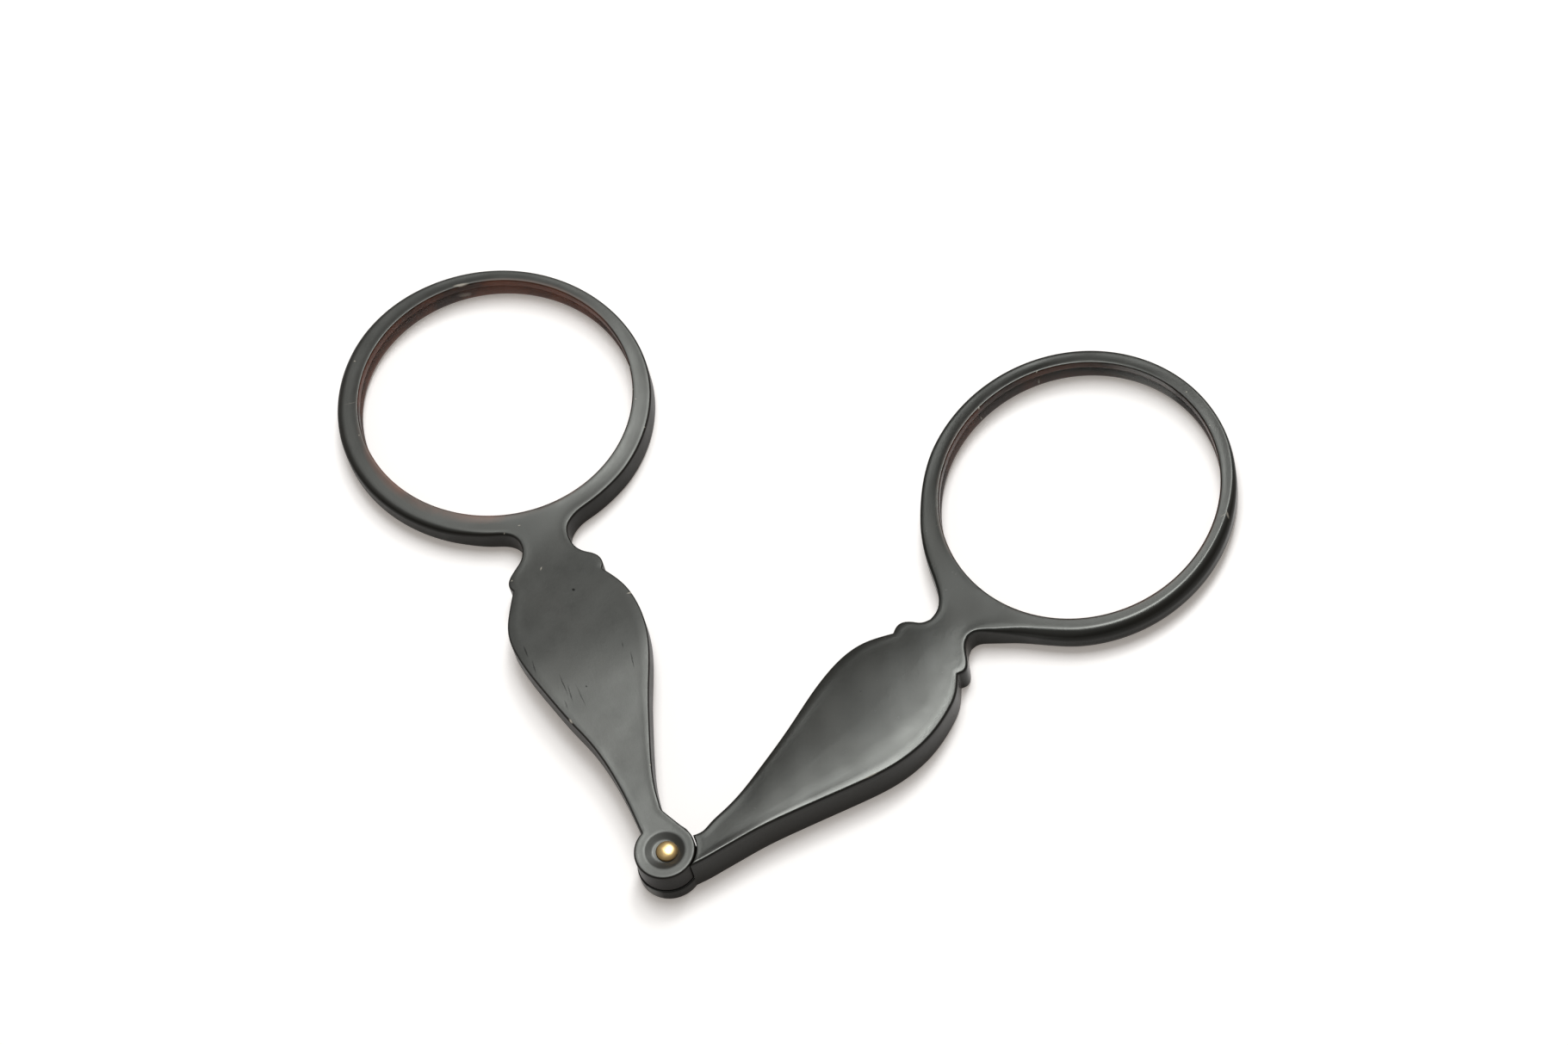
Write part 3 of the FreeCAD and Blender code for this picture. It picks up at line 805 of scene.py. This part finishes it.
# Each arm's own colours, polish and marks. A mark is: distance along the arm, distance to its left,
# half length, half width (mm), direction (degrees), strength
hornLook = {
    "left_arm_horn": {
        "dark": (0.0110, 0.0115, 0.0104, 1),
        "brown": (0.016, 0.012, 0.009, 1),
        # the next colour is a painted glow of light shining through thin horn round the lens
        "paintedGlow": (0.125, 0.040, 0.020, 1),
        "rough": (0.355, 0.425),
        "shine": 0.82,
        "edgeShine": 0.0,
        "chipsAndGlint": [
            (86.3, 15.6, 0.16, 0.10, 30, 0.8), (75.1, 18.5, 0.12, 0.09, 0, 0.6),
            (83.6, -14.7, 0.3, 0.08, 40, 0.7), (70.3, -18.6, 0.14, 0.1, 0, 0.7),
            (66.9, -17.8, 0.22, 0.1, 70, 0.9), (65.3, -17.8, 0.12, 0.1, 0, 0.6),
            (60.8, -17.5, 0.12, 0.1, 0, 0.6), (53.4, 2.7, 0.18, 0.09, 60, 0.6),
            (53.1, 4.9, 0.1, 0.08, 0, 0.6), (45.7, 6.2, 0.16, 0.1, 80, 0.7),
            (45.9, 2.0, 0.28, 0.09, -35, 0.8), (37.3, -7.7, 0.34, 0.12, 75, 0.9),
            (22.2, 5.4, 0.4, 0.12, 12, 0.9), (14.9, 3.4, 0.3, 0.12, 14, 0.9),
            (12.2, -2.2, 0.14, 0.1, 0, 0.8), (80.3, 18.0, 0.9, 0.04, 80, 0.3),
            # this mark is no chip but a painted highlight of a small bright facet on the rim's inner
            # edge
            (91.7, -1.4, 1.0, 0.2, 78, 0.8),
        ],
        "pits": [
            (40.9, -1.0, 0.26, 0.18, 20, 0.9), (26.2, 1.9, 0.16, 0.12, 0, 0.8),
            (34.4, 7.7, 1.0, 0.09, 0, 0.6), (31.7, 7.4, 1.1, 0.08, -4, 0.6),
            (27.6, 4.6, 1.6, 0.09, 2, 0.6), (26.0, 4.2, 1.4, 0.08, -3, 0.6),
            (25.2, 3.0, 1.8, 0.08, 4, 0.5), (24.7, 5.2, 0.8, 0.08, 0, 0.5),
            (27.5, -4.9, 1.2, 0.09, -8, 0.6), (30.1, -4.4, 0.5, 0.08, -8, 0.5),
        ],
    },
    "right_arm_horn": {
        "dark": (0.0130, 0.0140, 0.0130, 1),
        "brown": (0.019, 0.0165, 0.013, 1),
        # the next colour is a painted glow of light shining through thin horn round the lens
        "paintedGlow": (0.10, 0.035, 0.020, 1),
        "rough": (0.23, 0.275),
        "shine": 0.25,
        "edgeShine": 0.5,
        "chipsAndGlint": [
            (25.8, -11.3, 1.2, 0.1, -16, 0.6), (72.6, 18.5, 0.3, 0.12, 60, 0.9),
            (81.7, 17.0, 0.22, 0.1, 20, 0.8), (93.2, 0.35, 0.12, 0.1, 0, 0.8),
            (91.8, -5.5, 0.1, 0.08, 0, 0.6), (84.2, -16.6, 0.55, 0.12, 60, 0.5),
            (83.7, -16.3, 0.4, 0.08, -10, 0.4),
        ],
        "pits": [(33.0, -1.5, 0.14, 0.1, 0, 0.7)],
    },
}


# The marks of one kind: the strongest of them at each point, each an ellipse with ragged edges
def ellipseMarks(add, place, marks):
    most = 0.0
    for x, y, halfLength, halfWidth, direction, strength in marks:
        within = localTo(add, place, (x, y, 0), math.radians(direction), (halfLength, halfWidth, 1))
        mark = ranged(add, lengthOf(add, within), hornFinish["markEnds"], strength, 0.0)
        most = number(add, "MAXIMUM", mark, most)
    return most


def hornMaterial(arm):
    look, finish = hornLook[arm["name"]], hornFinish
    material, add = newMaterial(arm["name"])
    place = add("TexCoord", {}).outputs["Object"]
    pivot = (0, -hinge["pivotBack"] * mm, 0)
    inArm = localTo(add, place, pivot, math.radians(arm["turn"]), (mm, mm, mm))
    clouds = add("TexNoise", {"Vector": inArm, **finish["clouds"]}).outputs["Fac"]
    patches = add("TexNoise", {"Vector": inArm, **finish["patches"]}).outputs["Fac"]
    grain = add("TexNoise", {"Vector": inArm, **finish["grain"]})
    rough = ranged(add, patches, finish["patchEnds"], *look["rough"])
    bump = add("Bump", {"Height": grain.outputs["Fac"], **finish["bump"]}).outputs["Normal"]

    # Level faces have the most polish
    normal = add("NewGeometry", {}).outputs["Normal"]
    upright = add("SeparateXYZ", {"Vector": normal}).outputs["Z"]
    level = number(add, "ABSOLUTE", upright)
    facePolish = ranged(add, level, finish["level"], finish["wallPolish"], look["shine"])

    # The outer edge is handled most, so it shines more where it begins to turn down
    side = rowAngle(math.pi / 2, arm)
    outward = (math.cos(side), math.sin(side), 0)
    lean = add("VectorMath", {0: normal, 1: outward}, operation="DOT_PRODUCT").outputs["Value"]
    begins = ranged(add, lean, finish["edgeBegins"])
    ends = ranged(add, lean, finish["edgeEnds"], look["edgeShine"], 0.0)
    polish = number(add, "ADD", facePolish, number(add, "MULTIPLY", begins, ends))

    # Painted glow: where the horn round the lens is thin it is painted red brown, in places, standing in
    # for light that shines through it
    fromMiddle = vector(add, "MULTIPLY_ADD", inArm, (1, 1, 0), (-hinge["armLength"], 0, 0))
    reach = lengthOf(add, fromMiddle)
    nearLens = ranged(add, reach, finish["paintedGlowReach"], 1.0, 0.0)
    wallPaintedGlow = number(add, "MULTIPLY", nearLens, ranged(add, level, finish["paintedGlowLevel"], 1.0, 0.0))
    paintedGlow = number(add, "MAXIMUM", wallPaintedGlow, ranged(add, reach, finish["facePaintedGlow"], 1.0, 0.0))
    inPlaces = ranged(add, clouds, finish["paintedGlowClouds"], finish["paintedGlowLeast"], 1.0)
    horn = mixed(add, clouds, look["dark"], look["brown"])
    horn = mixed(add, number(add, "MULTIPLY", paintedGlow, inPlaces), horn, look["paintedGlow"])

    # Wear, and a painted highlight: light chips and specks, one of which is a painted highlight of a
    # facet, and dark pits
    ragged = vector(add, "SUBTRACT", grain.outputs["Color"], (0.5, 0.5, 0.5))
    spread = (finish["ragged"], finish["ragged"], 0)
    markPlace = vector(add, "MULTIPLY_ADD", ragged, spread, vector(add, "MULTIPLY", inArm, (1, 1, 0)))
    upward = ranged(add, upright, finish["markUp"])
    chipsAndGlint = number(add, "MULTIPLY", ellipseMarks(add, markPlace, look["chipsAndGlint"]), upward)
    pits = number(add, "MULTIPLY", ellipseMarks(add, markPlace, look["pits"]), upward)
    horn = mixed(add, chipsAndGlint, horn, finish["chipAndGlint"])
    horn = mixed(add, pits, horn, finish["pit"])
    kept = ranged(add, number(add, "MAXIMUM", chipsAndGlint, pits), (0.0, 1.0), 1.0, finish["wallPolish"])
    shader = add(
        "BsdfPrincipled",
        {
            "Base Color": horn, "Roughness": rough, "Normal": bump,
            "IOR": finish["refraction"], "Specular Tint": finish["tint"],
            "Specular IOR Level": number(add, "MULTIPLY", polish, kept),
        },
    )
    add("OutputMaterial", {"Surface": shader.outputs["BSDF"]})
    return material


# Clear glass with faint smears, scaled per metre, which only change how sharply it mirrors
glassLook = {"colour": (0.9, 0.93, 0.91, 1), "alpha": 0.02, "rough": (0.02, 0.09), "smears": 90.0}


def glassMaterial():
    material, add = newMaterial("clear_lens_glass")
    place = add("TexCoord", {}).outputs["Object"]
    smears = add("TexNoise", {"Vector": place, "Scale": glassLook["smears"], "Detail": 3.0})
    rough = ranged(add, smears.outputs["Fac"], (0.0, 1.0), *glassLook["rough"])
    shader = add(
        "BsdfPrincipled",
        {"Base Color": glassLook["colour"], "Roughness": rough, "Alpha": glassLook["alpha"]},
    )
    add("OutputMaterial", {"Surface": shader.outputs["BSDF"]})
    return material


# Brass that is bright where it is rubbed, and brown in patches and toward the foot of the head
brassLook = {
    "bright": (0.97, 0.70, 0.325, 1),
    "tarnished": (0.52, 0.31, 0.12, 1),
    "edge": (0.95, 1.5),        # tarnish grows between these distances from the head's middle, in mm
    "edgeShare": 0.6,
    "patches": {"Scale": 1.1, "Detail": 5.0, "Roughness": 0.6},
    "patchEnds": (0.4, 0.65),
    "patchShare": 0.22,
    "rough": (0.32, 0.46),
    "scratches": {"Scale": 6.0, "Detail": 4.0},
    "bump": {"Strength": 0.2, "Distance": 0.00004},
}


def brassMaterial():
    look = brassLook
    material, add = newMaterial("rivet_brass")
    place = add("TexCoord", {}).outputs["Object"]
    head = (rivet["lean"] * mm, -hinge["pivotBack"] * mm, 0)
    inHead = localTo(add, place, head, 0, (mm, mm, mm))
    reach = lengthOf(add, vector(add, "MULTIPLY", inHead, (1, 1, 0)))
    patches = add("TexNoise", {"Vector": inHead, **look["patches"]}).outputs["Fac"]
    scratches = add("TexNoise", {"Vector": inHead, **look["scratches"]}).outputs["Fac"]
    atEdge = ranged(add, reach, look["edge"], 0.0, look["edgeShare"])
    inPatches = ranged(add, patches, look["patchEnds"], 0.0, look["patchShare"])
    tarnish = number(add, "ADD", atEdge, inPatches)
    shader = add(
        "BsdfPrincipled",
        {
            "Base Color": mixed(add, tarnish, look["bright"], look["tarnished"]),
            "Roughness": ranged(add, patches, (0.0, 1.0), *look["rough"]),
            "Normal": add("Bump", {"Height": scratches, **look["bump"]}).outputs["Normal"],
            "Metallic": 1.0,
        },
    )
    add("OutputMaterial", {"Surface": shader.outputs["BSDF"]})
    return material


for piece, arm in zip(arms, (leftArm, rightArm)):
    piece.data.materials.append(hornMaterial(arm))
glass = glassMaterial()
for piece in lenses:
    piece.data.materials.append(glass)
rivetPiece.data.materials.append(brassMaterial())
print("materials made")

# Camera at the photograph's viewing angle, in metres
camera = {
    "place": (0.18750, -0.32793, 0.70298),
    "forward": (-0.23101, 0.42446, -0.87548),
    "right": (0.96058, 0.24255, -0.13587),
    "lens": 139.32,
    "sensor": 36.0,
    "clip": (0.01, 20),
}


def makeCamera():
    data = bpy.data.cameras.new("photo_camera")
    data.lens = camera["lens"]
    data.sensor_width = camera["sensor"]
    data.clip_start, data.clip_end = camera["clip"]
    item = bpy.data.objects.new("photo_camera", data)
    forward = Vector(camera["forward"]).normalized()
    right = Vector(camera["right"])
    right = (right - forward * right.dot(forward)).normalized()
    up = right.cross(forward)
    item.matrix_world = Matrix((
        (right.x, up.x, -forward.x, camera["place"][0]),
        (right.y, up.y, -forward.y, camera["place"][1]),
        (right.z, up.z, -forward.z, camera["place"][2]),
        (0, 0, 0, 1),
    ))
    bpy.context.scene.collection.objects.link(item)
    bpy.context.scene.camera = item


makeCamera()

# White table and studio light
studio = {
    "floorSize": 6.0,           # metres
    "floorColour": (0.94, 0.94, 0.94, 1),
    "lift": 0.24,               # added to the floor for what the camera and reflections see
    "liftColour": (1.0, 0.90, 0.81, 1),
    "worldStrength": 0.22,
    "worldColour": (1, 1, 1, 1),
    "lights": {
        "softbox": {"place": (-0.03, 0.243, 0.92), "size": (0.34, 0.42), "power": 5.2},
        "key": {"place": (0.04, 0.50, 0.80), "size": (0.18, 0.18), "power": 1.9},
    },
}


def makeFloor():
    half = studio["floorSize"] / 2
    corners = np.array([(-half, -half, 0), (half, -half, 0), (half, half, 0), (-half, half, 0)])
    mesh = bpy.data.meshes.new("table_top")
    mesh.from_pydata(corners.tolist(), [], [(0, 1, 2, 3)])
    floor = bpy.data.objects.new("table_top", mesh)
    bpy.context.scene.collection.objects.link(floor)
    material, add = newMaterial("white_table")
    diffuse = add("BsdfDiffuse", {"Color": studio["floorColour"]})
    path = add("LightPath", {}).outputs
    seen = number(add, "MAXIMUM", path["Is Camera Ray"], path["Is Glossy Ray"])
    seen = number(add, "MAXIMUM", seen, path["Is Transmission Ray"])
    lift = number(add, "MULTIPLY", seen, studio["lift"])
    glow = add("Emission", {"Color": studio["liftColour"], "Strength": lift})
    both = add("AddShader", {0: diffuse.outputs[0], 1: glow.outputs[0]})
    add("OutputMaterial", {"Surface": both.outputs[0]})
    mesh.materials.append(material)


def makeLight(name, place, size, power, target):
    data = bpy.data.lights.new(name, "AREA")
    data.shape = "RECTANGLE"
    data.size, data.size_y = size
    data.energy = power
    item = bpy.data.objects.new(name, data)
    item.location = place
    item.rotation_mode = "QUATERNION"
    item.rotation_quaternion = (Vector(target) - Vector(place)).to_track_quat("-Z", "Y")
    bpy.context.scene.collection.objects.link(item)


makeFloor()
for name, light in studio["lights"].items():
    makeLight(name, light["place"], light["size"], light["power"], (0, 0, 0))
world = bpy.data.worlds.new("studio")
bpy.context.scene.world = world
world.use_nodes = True
background = world.node_tree.nodes["Background"]
background.inputs["Strength"].default_value = studio["worldStrength"]
background.inputs["Color"].default_value = studio["worldColour"]
bpy.context.scene.view_settings.view_transform = "Standard"
print("camera and studio made")
